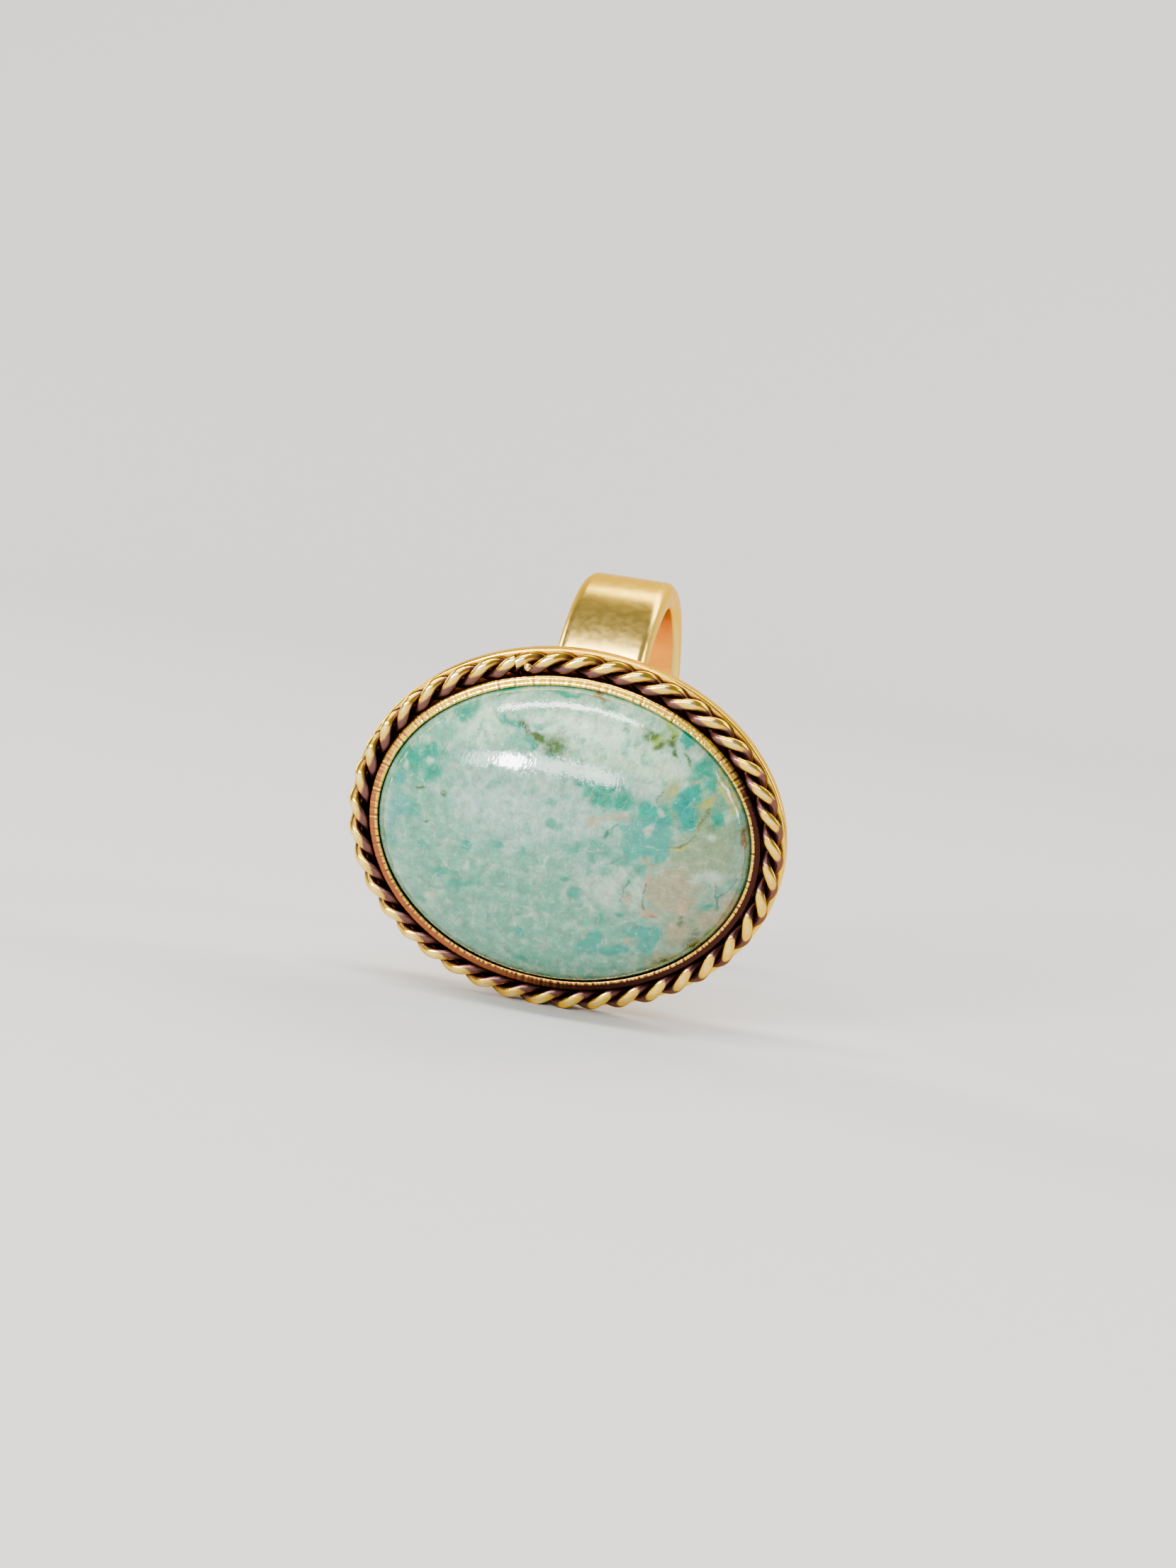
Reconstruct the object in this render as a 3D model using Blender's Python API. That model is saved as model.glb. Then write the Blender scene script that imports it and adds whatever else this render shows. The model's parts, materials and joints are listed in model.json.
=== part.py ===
"""A finger ring: an oval turquoise cabochon in a brass bezel with a twisted wire border.

Metres, +Z up. The ring lies as it comes to rest on a table: on the back of its band and on the lower
edge of its head. The finger hole runs along X, and the stone faces -Y and a little down. The origin is
at the middle of the ring's box, on the table.

Each piece is first made upright, about the middle of the finger hole, with the stone facing -Y.
The pieces share one empty, which leans them into the resting pose.
"""

import math

import bmesh
import bpy
import numpy as np

MM = 0.001

# The stone. Its girdle is the oval that every outline of the head keeps its distance from.
STONE_LENGTH = 18.0 * MM
STONE_WIDTH = 14.4 * MM
STONE_GIRDLE_HEIGHT = 0.20 * MM
STONE_DOME_HEIGHT = 4.10 * MM
STONE_BASE_CHAMFER = 0.15 * MM

# The bezel, a strip bent round the stone, with its lip pushed in over the stone's edge.
BEZEL_CLEARANCE = 0.03 * MM
BEZEL_THICKNESS = 0.27 * MM
BEZEL_HEIGHT = 1.10 * MM
LIP_OVERHANG = 0.08 * MM

# The border, two wires twisted round each other.
WIRE_RADIUS = 0.265 * MM
WIRE_GAP = 0.025 * MM
ROPE_CLEARANCE = 0.03 * MM
ROPE_CRESTS = 41.3
ROPE_SEAM = 0.693
SEAM_PHASE = 0.42
POINTS_PER_TURN = 10
WIRE_SIDES = 6

# The base plate, and the small gap that every soldered or resting joint keeps.
PLATE_THICKNESS = 0.80 * MM
PLATE_MARGIN = 0.03 * MM
PLATE_EDGE_BEVEL = 0.10 * MM
JOINT_GAP = 0.02 * MM

# The shank, a plain band filed flat where the plate is soldered to it.
HOLE_RADIUS = 9.0 * MM
BAND_THICKNESS = 1.30 * MM
BAND_WIDTH = 4.40 * MM
BAND_OUTER_BEVEL = 0.35 * MM
BAND_INNER_BEVEL = 0.20 * MM
BAND_FILED_AWAY = 0.50 * MM
BAND_SIDES = 64

# The number of sides of the head's oval outlines. A side lies across each end of both axes.
OVAL_SIDES = 64
DOME_RINGS = 9

# Sizes that follow from the ones above.
GIRDLE_A = STONE_LENGTH / 2
GIRDLE_B = STONE_WIDTH / 2
BAND_OUTER_RADIUS = HOLE_RADIUS + BAND_THICKNESS
PLATE_BACK = BAND_OUTER_RADIUS - BAND_FILED_AWAY + JOINT_GAP
PLATE_FRONT = PLATE_BACK + PLATE_THICKNESS
BEZEL_OUTSIDE = BEZEL_CLEARANCE + BEZEL_THICKNESS
HELIX_RADIUS = WIRE_RADIUS + WIRE_GAP / 2
ROPE_RADIUS = HELIX_RADIUS + WIRE_RADIUS
ROPE_OFFSET = BEZEL_OUTSIDE + ROPE_CLEARANCE + ROPE_RADIUS
ROPE_LEVEL = PLATE_FRONT + ROPE_CLEARANCE + ROPE_RADIUS
PLATE_OFFSET = ROPE_OFFSET + ROPE_RADIUS + PLATE_MARGIN


def clear_scene():
    for old in list(bpy.data.objects):
        bpy.data.objects.remove(old, do_unlink=True)


def metal(name, color, roughness):
    material = bpy.data.materials.new(name)
    material.use_nodes = True
    shader = material.node_tree.nodes["Principled BSDF"]
    shader.inputs["Base Color"].default_value = (*color, 1.0)
    shader.inputs["Metallic"].default_value = 1.0
    shader.inputs["Roughness"].default_value = roughness
    return material


def stone_material():
    material = bpy.data.materials.new("turquoise")
    material.use_nodes = True
    shader = material.node_tree.nodes["Principled BSDF"]
    shader.inputs["Base Color"].default_value = (0.42, 0.60, 0.51, 1.0)
    shader.inputs["Metallic"].default_value = 0.0
    shader.inputs["Roughness"].default_value = 0.18
    return material


def lofted_body(name, loops, material, closed):
    """A solid skinned over loops of points. A closed one joins its last loop to its first; any other
    gets a flat face at each end."""
    mesh = bpy.data.meshes.new(name)
    build = bmesh.new()
    rows = [[build.verts.new(point) for point in loop] for loop in loops]
    pairs = list(zip(rows, rows[1:]))
    if closed:
        pairs.append((rows[-1], rows[0]))
    else:
        build.faces.new(rows[0])
        build.faces.new(rows[-1])
    for first, second in pairs:
        for i in range(len(first)):
            j = (i + 1) % len(first)
            build.faces.new((first[i], first[j], second[j], second[i]))
    bmesh.ops.recalc_face_normals(build, faces=build.faces)
    build.to_mesh(mesh)
    build.free()
    mesh.shade_smooth()
    mesh.set_sharp_from_angle(angle=math.radians(35))
    mesh.materials.append(material)
    piece = bpy.data.objects.new(name, mesh)
    bpy.context.scene.collection.objects.link(piece)
    return piece


def oval_point(angle, offset):
    """A point of the outline that keeps a distance from the girdle, and its outward direction, as (x, z)."""
    x = GIRDLE_A * math.cos(angle)
    z = GIRDLE_B * math.sin(angle)
    normal_x = GIRDLE_B * math.cos(angle)
    normal_z = GIRDLE_A * math.sin(angle)
    length = math.hypot(normal_x, normal_z)
    normal_x /= length
    normal_z /= length
    return x + offset * normal_x, z + offset * normal_z, normal_x, normal_z


def oval_angles():
    return [2 * math.pi * (i + 0.5) / OVAL_SIDES for i in range(OVAL_SIDES)]


def oval_loop(offset, level):
    """One outline of the head, at a distance outside the girdle and a level in front of the finger hole."""
    points = []
    for angle in oval_angles():
        x, z, _, _ = oval_point(angle, offset)
        points.append((x, -level, z))
    return points


def scaled_loop(scale, level):
    """The girdle's oval made smaller, for the dome."""
    return [
        (scale * GIRDLE_A * math.cos(angle), -level, scale * GIRDLE_B * math.sin(angle))
        for angle in oval_angles()
    ]


def make_stone():
    """A cabochon: a flat base, a low upright girdle and a half-ellipsoid dome."""
    base = PLATE_FRONT + JOINT_GAP
    girdle = base + STONE_GIRDLE_HEIGHT
    loops = [
        oval_loop(-STONE_BASE_CHAMFER, base),
        oval_loop(0.0, base + min(STONE_BASE_CHAMFER, STONE_GIRDLE_HEIGHT / 2)),
    ]
    for i in range(DOME_RINGS):
        rise = 0.5 * math.pi * i / DOME_RINGS
        loops.append(scaled_loop(math.cos(rise), girdle + STONE_DOME_HEIGHT * math.sin(rise)))
    return lofted_body("stone", loops, stone_material(), closed=False)


def make_bezel(brass):
    """The strip's upright wall, which bends in to a lip over the stone. Its section is a closed outline
    of (distance outside the girdle, height above the plate)."""
    lip = -LIP_OVERHANG
    outside = BEZEL_OUTSIDE
    inside = BEZEL_CLEARANCE
    height = BEZEL_HEIGHT
    section = [
        (outside, JOINT_GAP),
        (outside, height * 0.62),
        (outside - 0.15 * BEZEL_THICKNESS, height * 0.80),
        (outside - 0.50 * BEZEL_THICKNESS, height * 0.93),
        (lip + 0.30 * BEZEL_THICKNESS, height),
        (lip, height * 0.97),
        (inside, height * 0.62),
        (inside, JOINT_GAP),
    ]
    loops = [oval_loop(offset, PLATE_FRONT + level) for offset, level in section]
    return lofted_body("bezel", loops, brass, closed=True)


def make_base_plate(brass):
    bevel = PLATE_EDGE_BEVEL
    loops = [
        oval_loop(PLATE_OFFSET - bevel, PLATE_BACK),
        oval_loop(PLATE_OFFSET, PLATE_BACK + bevel),
        oval_loop(PLATE_OFFSET, PLATE_FRONT - bevel),
        oval_loop(PLATE_OFFSET - bevel, PLATE_FRONT),
    ]
    return lofted_body("base_plate", loops, brass, closed=False)


def rope_route(count):
    """Evenly spaced stations once round the border's middle line, from its seam, clockwise as seen from
    the front. Each is (x, z, outward x, outward z)."""
    fine = [oval_point(-2 * math.pi * i / 4000, ROPE_OFFSET) for i in range(4001)]
    table = np.array(fine)
    steps = np.hypot(np.diff(table[:, 0]), np.diff(table[:, 1]))
    travelled = np.concatenate([[0.0], np.cumsum(steps)])
    total = travelled[-1]
    gap = JOINT_GAP / total
    wanted = (ROPE_SEAM + np.linspace(gap, 1.0 - gap, count)) % 1.0 * total
    columns = [np.interp(wanted, travelled, table[:, k]) for k in range(4)]
    return np.column_stack(columns), total


def make_wire(name, strand, brass):
    """One wire of the border: a helix round the border's middle line, which it crosses from inside to
    outside over the top. The two strands are half a turn apart, and are cut square at the seam."""
    count = round(ROPE_CRESTS / 2 * POINTS_PER_TURN) + 1
    route, total = rope_route(count)
    slope = math.pi * ROPE_CRESTS / total
    front = np.array([0.0, -1.0, 0.0])
    loops = []
    for i, (x, z, out_x, out_z) in enumerate(route):
        middle = np.array([x, -ROPE_LEVEL, z])
        out = np.array([out_x, 0.0, out_z])
        along = np.array([out_z, 0.0, -out_x])
        phase = math.pi * (SEAM_PHASE + strand - ROPE_CRESTS * i / (count - 1))
        away = math.cos(phase) * out + math.sin(phase) * front
        turning = math.sin(phase) * out - math.cos(phase) * front
        heading = along + slope * HELIX_RADIUS * turning
        heading /= np.linalg.norm(heading)
        across = np.cross(heading, away)
        loop = []
        for side in range(WIRE_SIDES):
            angle = 2 * math.pi * side / WIRE_SIDES
            spoke = math.cos(angle) * away + math.sin(angle) * across
            point = HELIX_RADIUS * away + WIRE_RADIUS * spoke
            if i in (0, count - 1):
                point -= heading * np.dot(point, along) / np.dot(heading, along)
            loop.append(middle + point)
        loops.append(loop)
    return lofted_body(name, loops, brass, closed=False)


def resting_lean(head):
    """The angle that the upright ring leans forward by, until the first point of its head is level with
    the back of the band."""
    band_reach = BAND_OUTER_RADIUS * math.cos(math.pi / BAND_SIDES)
    leans = []
    for piece in head:
        for vertex in piece.data.vertices:
            out = -vertex.co.y
            down = -vertex.co.z
            reach = math.hypot(out, down)
            if down > 0.0 and reach > band_reach:
                leans.append(math.atan2(out, down) - math.acos(band_reach / reach))
    return min(leans)


def make_shank(brass, lean):
    """The band: a flat strip with rounded edges, bent into a hoop, with a filed flat for the plate. One
    of its sides lies on the table, straight down once the ring leans."""
    half = BAND_WIDTH / 2
    outer = BAND_OUTER_BEVEL
    inner = BAND_INNER_BEVEL
    section = [
        (-half, HOLE_RADIUS + inner),
        (-half, BAND_OUTER_RADIUS - outer),
        (-half + outer, BAND_OUTER_RADIUS),
        (half - outer, BAND_OUTER_RADIUS),
        (half, BAND_OUTER_RADIUS - outer),
        (half, HOLE_RADIUS + inner),
        (half - inner, HOLE_RADIUS),
        (-half + inner, HOLE_RADIUS),
    ]
    flat = PLATE_BACK - JOINT_GAP
    loops = []
    for i in range(BAND_SIDES):
        around = lean + 2 * math.pi * (i + 0.5) / BAND_SIDES
        to_face = math.sin(around)
        down = math.cos(around)
        loop = []
        for x, radius in section:
            if radius * to_face > flat:
                radius = flat / to_face
            loop.append((x, -radius * to_face, -radius * down))
        loops.append(loop)
    return lofted_body("shank", loops, brass, closed=True)


def leaned_extent(pieces, lean):
    """The leaned pieces' lowest height, and the middle of their extent along Y."""
    heights = []
    depths = []
    for piece in pieces:
        for vertex in piece.data.vertices:
            _, y, z = vertex.co
            depths.append(y * math.cos(lean) - z * math.sin(lean))
            heights.append(y * math.sin(lean) + z * math.cos(lean))
    return min(heights), (min(depths) + max(depths)) / 2


def lay_down(pieces, lean):
    """Leans the ring on its band and its plate's edge, with the origin on the table under its middle."""
    lowest, middle = leaned_extent(pieces, lean)
    pose = bpy.data.objects.new("resting_pose", None)
    bpy.context.scene.collection.objects.link(pose)
    pose.rotation_euler = (lean, 0.0, 0.0)
    pose.location = (0.0, -middle, -lowest)
    for piece in pieces:
        piece.parent = pose


def main():
    clear_scene()
    bright = metal("polished_brass", (0.83, 0.66, 0.34), 0.22)
    worn = metal("worn_brass", (0.80, 0.60, 0.32), 0.30)
    head = [
        make_stone(),
        make_bezel(bright),
        make_wire("wire_1", 0, worn),
        make_wire("wire_2", 1, worn),
        make_base_plate(bright),
    ]
    lean = resting_lean(head)
    lay_down(head + [make_shank(bright, lean)], lean)


main()
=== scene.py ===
import json
import math

import bmesh
import bpy
import numpy as np
from mathutils import Matrix, Vector, noise


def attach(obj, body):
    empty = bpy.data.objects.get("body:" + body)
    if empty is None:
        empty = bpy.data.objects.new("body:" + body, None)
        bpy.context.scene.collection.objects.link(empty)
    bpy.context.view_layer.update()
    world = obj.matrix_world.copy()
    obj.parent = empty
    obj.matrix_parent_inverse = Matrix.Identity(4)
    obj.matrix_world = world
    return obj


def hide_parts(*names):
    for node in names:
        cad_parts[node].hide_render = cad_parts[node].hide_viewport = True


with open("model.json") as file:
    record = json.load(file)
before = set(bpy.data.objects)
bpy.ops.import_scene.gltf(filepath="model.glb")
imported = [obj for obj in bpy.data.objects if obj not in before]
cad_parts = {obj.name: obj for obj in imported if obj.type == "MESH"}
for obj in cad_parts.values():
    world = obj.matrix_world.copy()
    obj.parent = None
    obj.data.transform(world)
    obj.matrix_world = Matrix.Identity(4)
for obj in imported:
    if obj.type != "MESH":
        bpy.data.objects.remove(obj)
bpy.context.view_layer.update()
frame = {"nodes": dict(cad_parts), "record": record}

MM = 0.001

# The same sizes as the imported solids, which the finer pieces here are drawn round.
GIRDLE_A = 9.0 * MM
GIRDLE_B = 7.2 * MM
STONE_GIRDLE_HEIGHT = 0.20 * MM
STONE_DOME_HEIGHT = 4.10 * MM
STONE_BASE_CHAMFER = 0.15 * MM
BEZEL_CLEARANCE = 0.03 * MM
BEZEL_THICKNESS = 0.27 * MM
BEZEL_HEIGHT = 1.10 * MM
LIP_OVERHANG = 0.08 * MM
WIRE_RADIUS = 0.265 * MM
WIRE_GAP = 0.025 * MM
ROPE_CLEARANCE = 0.03 * MM
ROPE_CRESTS = 41.3
ROPE_SEAM = 0.693
SEAM_PHASE = 0.42
PLATE_THICKNESS = 0.80 * MM
PLATE_MARGIN = 0.03 * MM
PLATE_EDGE_RADIUS = 0.12 * MM
JOINT_GAP = 0.02 * MM
HOLE_RADIUS = 9.0 * MM
BAND_THICKNESS = 1.30 * MM
BAND_WIDTH = 4.40 * MM
BAND_OUTER_ROUND = 0.55 * MM
BAND_INNER_ROUND = 0.35 * MM
BAND_FILED_AWAY = 0.50 * MM

BAND_OUTER_RADIUS = HOLE_RADIUS + BAND_THICKNESS
PLATE_BACK = BAND_OUTER_RADIUS - BAND_FILED_AWAY + JOINT_GAP
PLATE_FRONT = PLATE_BACK + PLATE_THICKNESS
BEZEL_OUTSIDE = BEZEL_CLEARANCE + BEZEL_THICKNESS
HELIX_RADIUS = WIRE_RADIUS + WIRE_GAP / 2
ROPE_RADIUS = HELIX_RADIUS + WIRE_RADIUS
ROPE_OFFSET = BEZEL_OUTSIDE + ROPE_CLEARANCE + ROPE_RADIUS
ROPE_LEVEL = PLATE_FRONT + ROPE_CLEARANCE + ROPE_RADIUS
PLATE_OFFSET = ROPE_OFFSET + ROPE_RADIUS + PLATE_MARGIN

# The camera: how far its view is turned from straight at the stone's face, and what it takes in.
VIEW_RIGHT = math.radians(7.8)
VIEW_ABOVE = math.radians(14.6)
VIEW_ROLL = math.radians(7.4)
VIEW_DISTANCE = 135 * MM
VIEW_HEIGHT = 73.5 * MM
SENSOR_MM = 36
LIP_LEFT_OF_CENTRE = 1.21 * MM
LIP_BELOW_CENTRE = 2.41 * MM
CLIP_START = 1 * MM
CLIP_END = 10.0


def paint(red, green, blue):
    """A paint colour given from 0 to 255 as the linear colour that a shader takes."""
    values = []
    for level in (red, green, blue):
        share = level / 255
        values.append(share / 12.92 if share <= 0.04045 else ((share + 0.055) / 1.055) ** 2.4)
    return tuple(values)


# The stone's colours.
GREY_GREEN = paint(86, 143, 123)
PALE_GREY = paint(122, 153, 142)
DEEP_GREEN = paint(66, 128, 104)
MINT = paint(60, 139, 112)
# The upper clouds' colour, made paler with painted light from above.
UPPER_GREEN = paint(164, 193, 160)
TEAL = paint(0, 122, 98)
TURQUOISE = paint(0, 127, 108)
BLUE_TURQUOISE = paint(0, 120, 110)
CHALK = paint(156, 174, 152)
BEIGE_GREEN = paint(106, 122, 80)
PINK_BEIGE = paint(138, 127, 90)
PEACH = paint(166, 122, 84)
OLIVE = paint(48, 70, 14)
LIME = paint(108, 136, 44)
YELLOW = paint(154, 150, 48)
RUST = paint(104, 60, 18)
DARK_VEIN = paint(26, 66, 40)
SMUDGE = paint(78, 114, 92)

# The stone's markings. Each is an oval: its middle across and up the stone, its half length and half
# width, in millimetres, and how far its length is turned anticlockwise from level, in degrees.
GREY_CLOUDS = (
    (-1.6, 2.2, 4.4, 1.9, 0),
    (2.2, -1.2, 1.1, 1.3, 10),
    (3.6, 3.7, 1.6, 0.7, -10),
)
# Pale clouds over the top of the stone: partly its own chalky tone, partly painted light from above.
UPPER_CLOUDS_AND_TOP_LIGHT = (
    (1.5, 5.4, 3.6, 1.3, -6),
    (4.2, 4.4, 1.9, 0.9, -20),
    (-4.0, 5.2, 1.6, 0.9, 25),
)
# Deep green clouds over the lower half; the long narrow one along the bottom edge, at (0.5, -6.2), is
# painted shade.
GREEN_CLOUDS_AND_RIM_SHADE = (
    (-3.6, -2.6, 3.6, 2.2, -10),
    (0.8, -2.8, 2.6, 2.2, 10),
    (-6.8, 1.6, 1.6, 2.6, 15),
    (-2.0, -5.0, 3.6, 1.1, 0),
    (0.5, -6.2, 4.8, 0.8, 2),
    (-6.6, -3.6, 1.0, 1.8, 35),
)
BEIGE_GREEN_CLOUDS = (
    (7.1, 0.8, 1.7, 1.5, 0),
    (6.5, 2.3, 0.8, 1.1, -15),
    (7.0, -3.4, 1.5, 1.7, 35),
    (5.0, 3.5, 0.5, 0.5, 0),
    (5.4, 2.3, 0.45, 0.45, 0),
    (5.4, -4.9, 1.0, 0.6, 25),
    (5.8, 0.4, 0.7, 0.8, 0),
)
PINK_BEIGE_CLOUDS = (
    (5.8, -1.2, 1.35, 1.2, 10),
    (1.9, 1.65, 0.40, 0.32, 20),
    (2.8, 2.2, 0.60, 0.16, 12),
    (6.1, -3.3, 0.65, 0.6, 0),
    (7.7, -2.6, 0.7, 0.55, 45),
    (8.3, -1.7, 0.5, 0.6, 60),
    (4.2, 0.35, 0.3, 0.35, 0),
)
TEAL_MARKS = (
    (1.9, 2.95, 0.85, 0.36, -18),
    (1.0, 3.35, 0.5, 0.2, 0),
    (2.9, 2.85, 0.6, 0.35, 0),
    (-6.5, 3.4, 0.45, 0.7, -20),
    (-7.3, 2.7, 0.8, 0.5, 20),
    (-6.2, 2.4, 0.42, 0.42, 0),
    (-5.2, 5.4, 0.6, 0.28, 35),
    (-3.4, 6.4, 0.6, 0.2, 15),
    (-0.5, 6.85, 1.0, 0.12, 4),
    (-3.4, 5.45, 0.42, 0.16, -38),
    (-2.7, 5.25, 0.5, 0.16, -5),
    (-1.4, 5.5, 0.45, 0.18, 5),
    (-1.7, 4.6, 0.42, 0.18, -30),
    (-0.7, 4.25, 0.5, 0.16, -5),
    (6.2, 4.6, 0.5, 0.65, 25),
    (6.75, 3.8, 0.32, 0.45, 15),
    (-2.7, 0.05, 0.24, 0.3, 0),
    (-1.3, -0.15, 0.22, 0.2, 0),
    (-0.2, 1.35, 0.42, 0.24, 0),
    (-0.3, 2.35, 0.26, 0.2, 0),
    (1.2, 0.5, 0.6, 0.32, 15),
    (2.3, 0.5, 0.5, 0.25, -20),
    (3.1, -0.1, 0.4, 0.3, 15),
    (2.7, -0.4, 0.35, 0.22, 30),
    (1.4, -1.7, 0.4, 0.22, 10),
    (2.1, 0.0, 0.14, 0.24, 0),
    (1.95, -0.6, 0.13, 0.24, 0),
    (-6.9, 0.6, 0.5, 0.35, 0),
    (-7.8, -1.2, 0.35, 0.5, 10),
    (-6.1, -0.95, 0.36, 0.28, 0),
    (-5.0, -1.9, 0.55, 0.22, 12),
    (-4.0, -2.3, 0.9, 0.2, 8),
    (0.9, -1.1, 0.25, 0.14, 0),
    (2.7, -2.85, 0.2, 0.34, 0),
    (3.4, -2.45, 0.2, 0.18, 0),
    (3.45, -1.35, 0.13, 0.42, -15),
    (-6.1, -3.9, 0.22, 0.26, 0),
    (-1.1, -5.8, 0.3, 0.22, 0),
    (7.3, -1.9, 0.4, 0.14, 0),
    (2.0, 3.4, 0.9, 0.14, -5),
    (7.2, 2.5, 0.5, 0.3, -30),
    (4.1, -0.35, 0.3, 0.3, 0),
)
TURQUOISE_MARKS = (
    (5.8, 3.1, 0.50, 0.85, -12),
    (5.9, 2.1, 0.42, 0.5, 0),
    (4.5, 2.1, 0.9, 0.62, 20),
    (4.1, 2.6, 0.45, 0.36, 30),
    (3.9, 1.0, 0.72, 0.7, 0),
    (4.9, 1.1, 0.6, 0.9, 0),
    (5.1, 0.45, 0.36, 0.5, 0),
    (3.5, 0.3, 0.34, 0.28, 20),
    (3.3, 1.55, 0.35, 0.22, 20),
    (2.6, 1.25, 0.36, 0.10, 48),
    (2.1, -4.55, 0.7, 0.34, 28),
    (2.5, -3.9, 0.4, 0.55, -30),
    (3.3, -4.5, 0.8, 0.26, 6),
    (4.6, -3.4, 0.9, 0.32, 4),
    (5.1, -3.75, 0.42, 0.45, 0),
    (4.8, -4.1, 0.4, 0.35, 0),
    (5.3, 5.55, 0.5, 0.2, -38),
    (-4.05, -0.5, 0.34, 0.24, 10),
    (-1.1, -4.25, 0.4, 0.22, -48),
    (-5.25, -2.0, 0.2, 0.18, 0),
)
BLUE_MARKS = (
    (-7.6, 0.5, 0.55, 0.45, 0),
    (-7.9, -0.2, 0.32, 0.45, -20),
    (-7.8, 1.75, 0.38, 0.32, 0),
    (5.75, 2.9, 0.32, 0.5, -10),
    (4.5, 1.9, 0.5, 0.3, 20),
    (3.6, -4.4, 0.3, 0.2, 0),
)
CHALK_MARKS = (
    (-2.95, 6.0, 0.8, 0.28, 22),
    (-1.7, 5.85, 0.36, 0.18, 0),
    (4.9, 4.45, 0.55, 0.42, -10),
    (7.2, 1.5, 0.18, 0.26, 0),
    (3.35, -0.55, 0.26, 0.32, 0),
    (2.7, -1.4, 0.7, 0.7, 0),
    (4.15, -1.5, 0.3, 0.8, 0),
    (4.7, 2.45, 0.16, 0.2, 0),
    (3.1, 2.4, 0.18, 0.14, 0),
    (7.65, 2.45, 0.22, 0.34, 20),
    (4.25, 1.5, 0.11, 0.28, -20),
    (-4.05, -1.4, 0.12, 0.22, 0),
    (-5.6, -3.4, 0.32, 0.26, 0),
    (-7.65, 2.3, 0.16, 0.16, 0),
    (-6.45, 2.9, 0.16, 0.14, 0),
    (7.3, -0.5, 0.7, 0.35, 10),
    (5.8, 5.1, 0.3, 0.2, -40),
    (-6.7, 3.9, 0.3, 0.2, 40),
)
PEACH_MARKS = (
    (3.75, -1.65, 0.20, 0.34, -12),
    (4.8, -2.3, 0.42, 0.24, 5),
    (4.6, -0.55, 0.2, 0.32, 0),
    (4.0, -3.9, 0.22, 0.18, 0),
    (6.2, -1.9, 0.24, 0.34, 0),
    (7.0, 3.2, 0.12, 0.10, 0),
    (6.1, 4.05, 0.16, 0.08, 20),
    (7.6, 3.2, 0.22, 0.2, 0),
    (-5.5, -3.35, 0.18, 0.14, 0),
)
OLIVE_MARKS = (
    (-0.55, 4.76, 0.62, 0.42, 8),
    (-1.35, 4.92, 0.60, 0.22, -14),
    (-2.15, 5.22, 0.50, 0.20, -42),
    (4.65, 5.4, 0.24, 0.18, -20),
    (4.95, 5.05, 0.26, 0.10, -60),
    (3.65, 5.70, 0.34, 0.18, -10),
    (4.1, 5.25, 0.24, 0.14, 30),
    (5.5, 4.85, 0.26, 0.06, -60),
    (6.55, 2.3, 0.1, 0.4, -10),
    (6.3, 1.35, 0.24, 0.08, 50),
    (5.9, 1.15, 0.4, 0.06, 18),
    (6.9, -3.8, 0.28, 0.42, -15),
    (5.3, -4.9, 0.42, 0.22, 20),
    (-6.15, 0.25, 0.2, 0.08, 25),
    (-5.5, 1.65, 0.16, 0.1, 30),
    (-6.6, 1.7, 0.4, 0.06, 20),
    (6.2, -2.6, 0.14, 0.3, 0),
)
LIME_MARKS = (
    (3.95, 5.5, 0.4, 0.28, -20),
    (4.35, 6.0, 0.5, 0.12, -45),
    (4.6, 5.6, 0.2, 0.22, 0),
)
YELLOW_MARKS = (
    (7.3, 3.55, 0.55, 0.22, -52),
    (7.8, 2.9, 0.24, 0.36, 10),
    (6.95, 4.2, 0.26, 0.12, -50),
    (5.1, 3.55, 0.2, 0.28, 0),
    (5.95, 1.05, 0.45, 0.12, 20),
    (6.5, 3.0, 0.4, 0.2, 15),
    (5.35, -4.75, 0.3, 0.2, 0),
)
RUST_MARKS = (
    (1.0, 6.85, 0.42, 0.12, -5),
    (8.6, 1.35, 0.12, 0.42, 12),
    (4.9, -2.35, 0.2, 0.1, 0),
)

# Thin dark cracks, each a run of points across and up the stone, in millimetres.
CRACKS = (
    ((7.42, -0.72), (7.55, -1.0), (7.60, -1.38), (7.66, -1.75), (7.60, -2.1)),
    ((7.60, -1.38), (7.95, -1.2), (8.25, -0.92), (8.36, -0.6)),
    ((4.62, 3.45), (4.50, 3.25), (4.55, 3.0)),
    ((2.95, 1.62), (2.62, 1.35), (2.42, 1.05)),
    ((4.55, -0.9), (4.48, -1.5), (4.56, -2.1)),
    ((3.72, -0.75), (3.55, -1.15), (3.42, -1.75)),
)

# How finely the meshes are divided.
STONE_COLUMNS = 400
STONE_ROWS = 130
BEZEL_COLUMNS = 1536
PLATE_COLUMNS = 512
PLATE_EDGE_ROWS = 5
ROUTE_STEPS = 4000
STATIONS_A_TURN = 40
WIRE_SIDES = 20
BEAD_COLUMNS = 24
BEAD_ROWS = 17
BAND_STATIONS = 360
BAND_CORNER_POINTS = 7
SWEEP_ROWS = 17
SHARP_FROM = math.radians(40)

# The directions that wear and open air come to the border from: how far they lean outward from straight in
# front.
RUBBED_FROM = math.radians(50)
OPEN_FROM = math.radians(25)
# The border's crests are worn a little flat in front: from what share of its radius, and how much is kept.
WORN_DOWN_TO = 0.70
CREST_KEPT = 0.55
# A crest gets a painted highlight from a share of the border's radius on: in front of its middle
# line, and toward what rubs it. Each grows to the full over the same share more.
CREST_FROM = 0.50
RUBBED_CREST_FROM = 0.35
CREST_GROWS_OVER = 0.35
# What the painted highlight adds to a crest, and what it adds more where the head has painted shade.
CREST_HIGHLIGHT = 0.5
CREST_HIGHLIGHT_IN_SHADE = 0.3
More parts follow.
